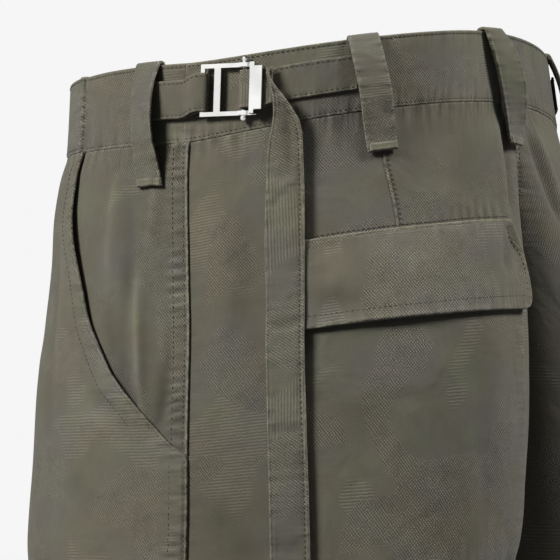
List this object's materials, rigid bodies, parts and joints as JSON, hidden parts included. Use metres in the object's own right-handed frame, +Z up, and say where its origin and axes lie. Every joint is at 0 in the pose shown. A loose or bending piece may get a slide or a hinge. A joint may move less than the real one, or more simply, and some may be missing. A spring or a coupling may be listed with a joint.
{
  "type": "bermuda shorts",
  "caption": "Loose bermuda shorts with a waistband, belt loops, curved front pockets, flapped back pockets and a strap with a metal buckle on each hip.",
  "frame": {"origin": "centre of the waist opening, at half the height of the waistband on the sides, where the wearer's waist holds the shorts", "axes": "+X to the wearer's left, +Y to the wearer's back, +Z up"},
  "size_m": [0.43, 0.3176, 0.5837],
  "materials": {
    "cloth": "washed cotton jacquard, tone-on-tone camouflage of plain, twill and ribbed weaves, matt",
    "strap_cloth": "the same jacquard, a little greyer, doubled and topstitched",
    "buckle_metal": "polished silver-coloured metal, blank",
    "button": "dark olive moulded button"
  },
  "bodies": {
    "root": {"back_flap_left": "cloth", "back_flap_right": "cloth", "back_panel_left": "cloth", "back_panel_right": "cloth", "back_pocket_left": "cloth", "back_pocket_right": "cloth", "buckle_frame_left": "buckle_metal", "buckle_frame_right": "buckle_metal", "buckle_pin_left": "buckle_metal", "buckle_pin_right": "buckle_metal", "buckle_plate_left": "buckle_metal", "buckle_plate_right": "buckle_metal", "front_panel_left": "cloth", "front_panel_right": "cloth", "loop_back_left": "cloth", "loop_back_right": "cloth", "loop_centre": "cloth", "loop_front_left": "cloth", "loop_front_right": "cloth", "pocket_facing_left": "cloth", "pocket_facing_right": "cloth", "strap_long_left": "strap_cloth", "strap_long_right": "strap_cloth", "strap_short_left": "strap_cloth", "strap_short_right": "strap_cloth", "strap_tail_left": "strap_cloth", "strap_tail_right": "strap_cloth", "waist_button": "button", "waistband_back_left": "cloth", "waistband_back_right": "cloth", "waistband_front_left": "cloth", "waistband_front_right": "cloth", "waistband_side_left": "cloth", "waistband_side_right": "cloth"}
  },
  "joints": []
}
